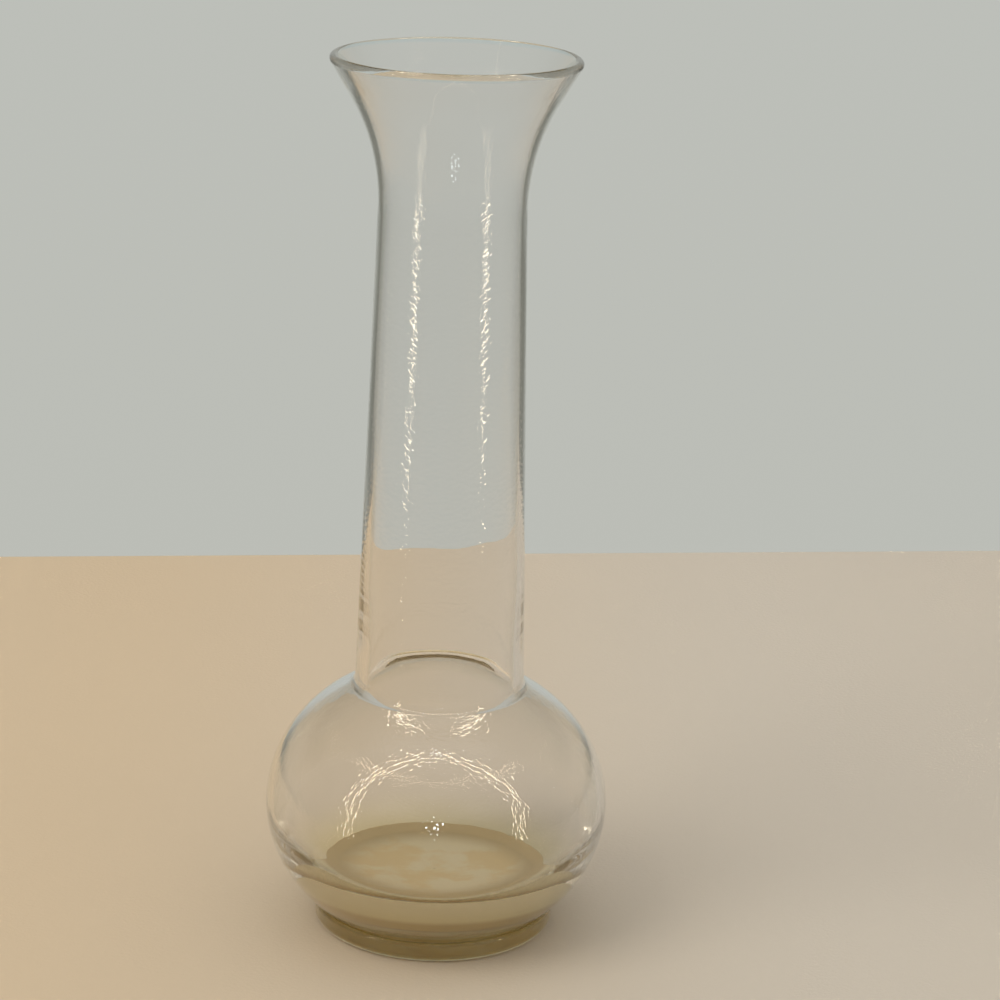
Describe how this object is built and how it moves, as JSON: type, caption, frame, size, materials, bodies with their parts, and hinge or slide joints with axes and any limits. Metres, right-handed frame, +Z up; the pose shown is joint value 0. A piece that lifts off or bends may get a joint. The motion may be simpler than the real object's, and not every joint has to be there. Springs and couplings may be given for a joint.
{
  "type": "hyacinth forcing vase",
  "caption": "Clear glass vase with a low round water reservoir on a foot ring, a long neck and a flared cup that holds a hyacinth bulb over the water.",
  "frame": {"origin": "centre of the flat ring that the vase stands on", "axes": "+Z up along the vase's axis, out of its mouth; the vase is round, so X and Y are free"},
  "size_m": [0.0844, 0.0844, 0.216],
  "materials": {
    "clear_glass": "gloss"
  },
  "bodies": {
    "root": {"foot": "clear_glass", "reservoir": "clear_glass", "neck": "clear_glass", "bulb_cup": "clear_glass", "rim_bead": "clear_glass"}
  },
  "joints": []
}
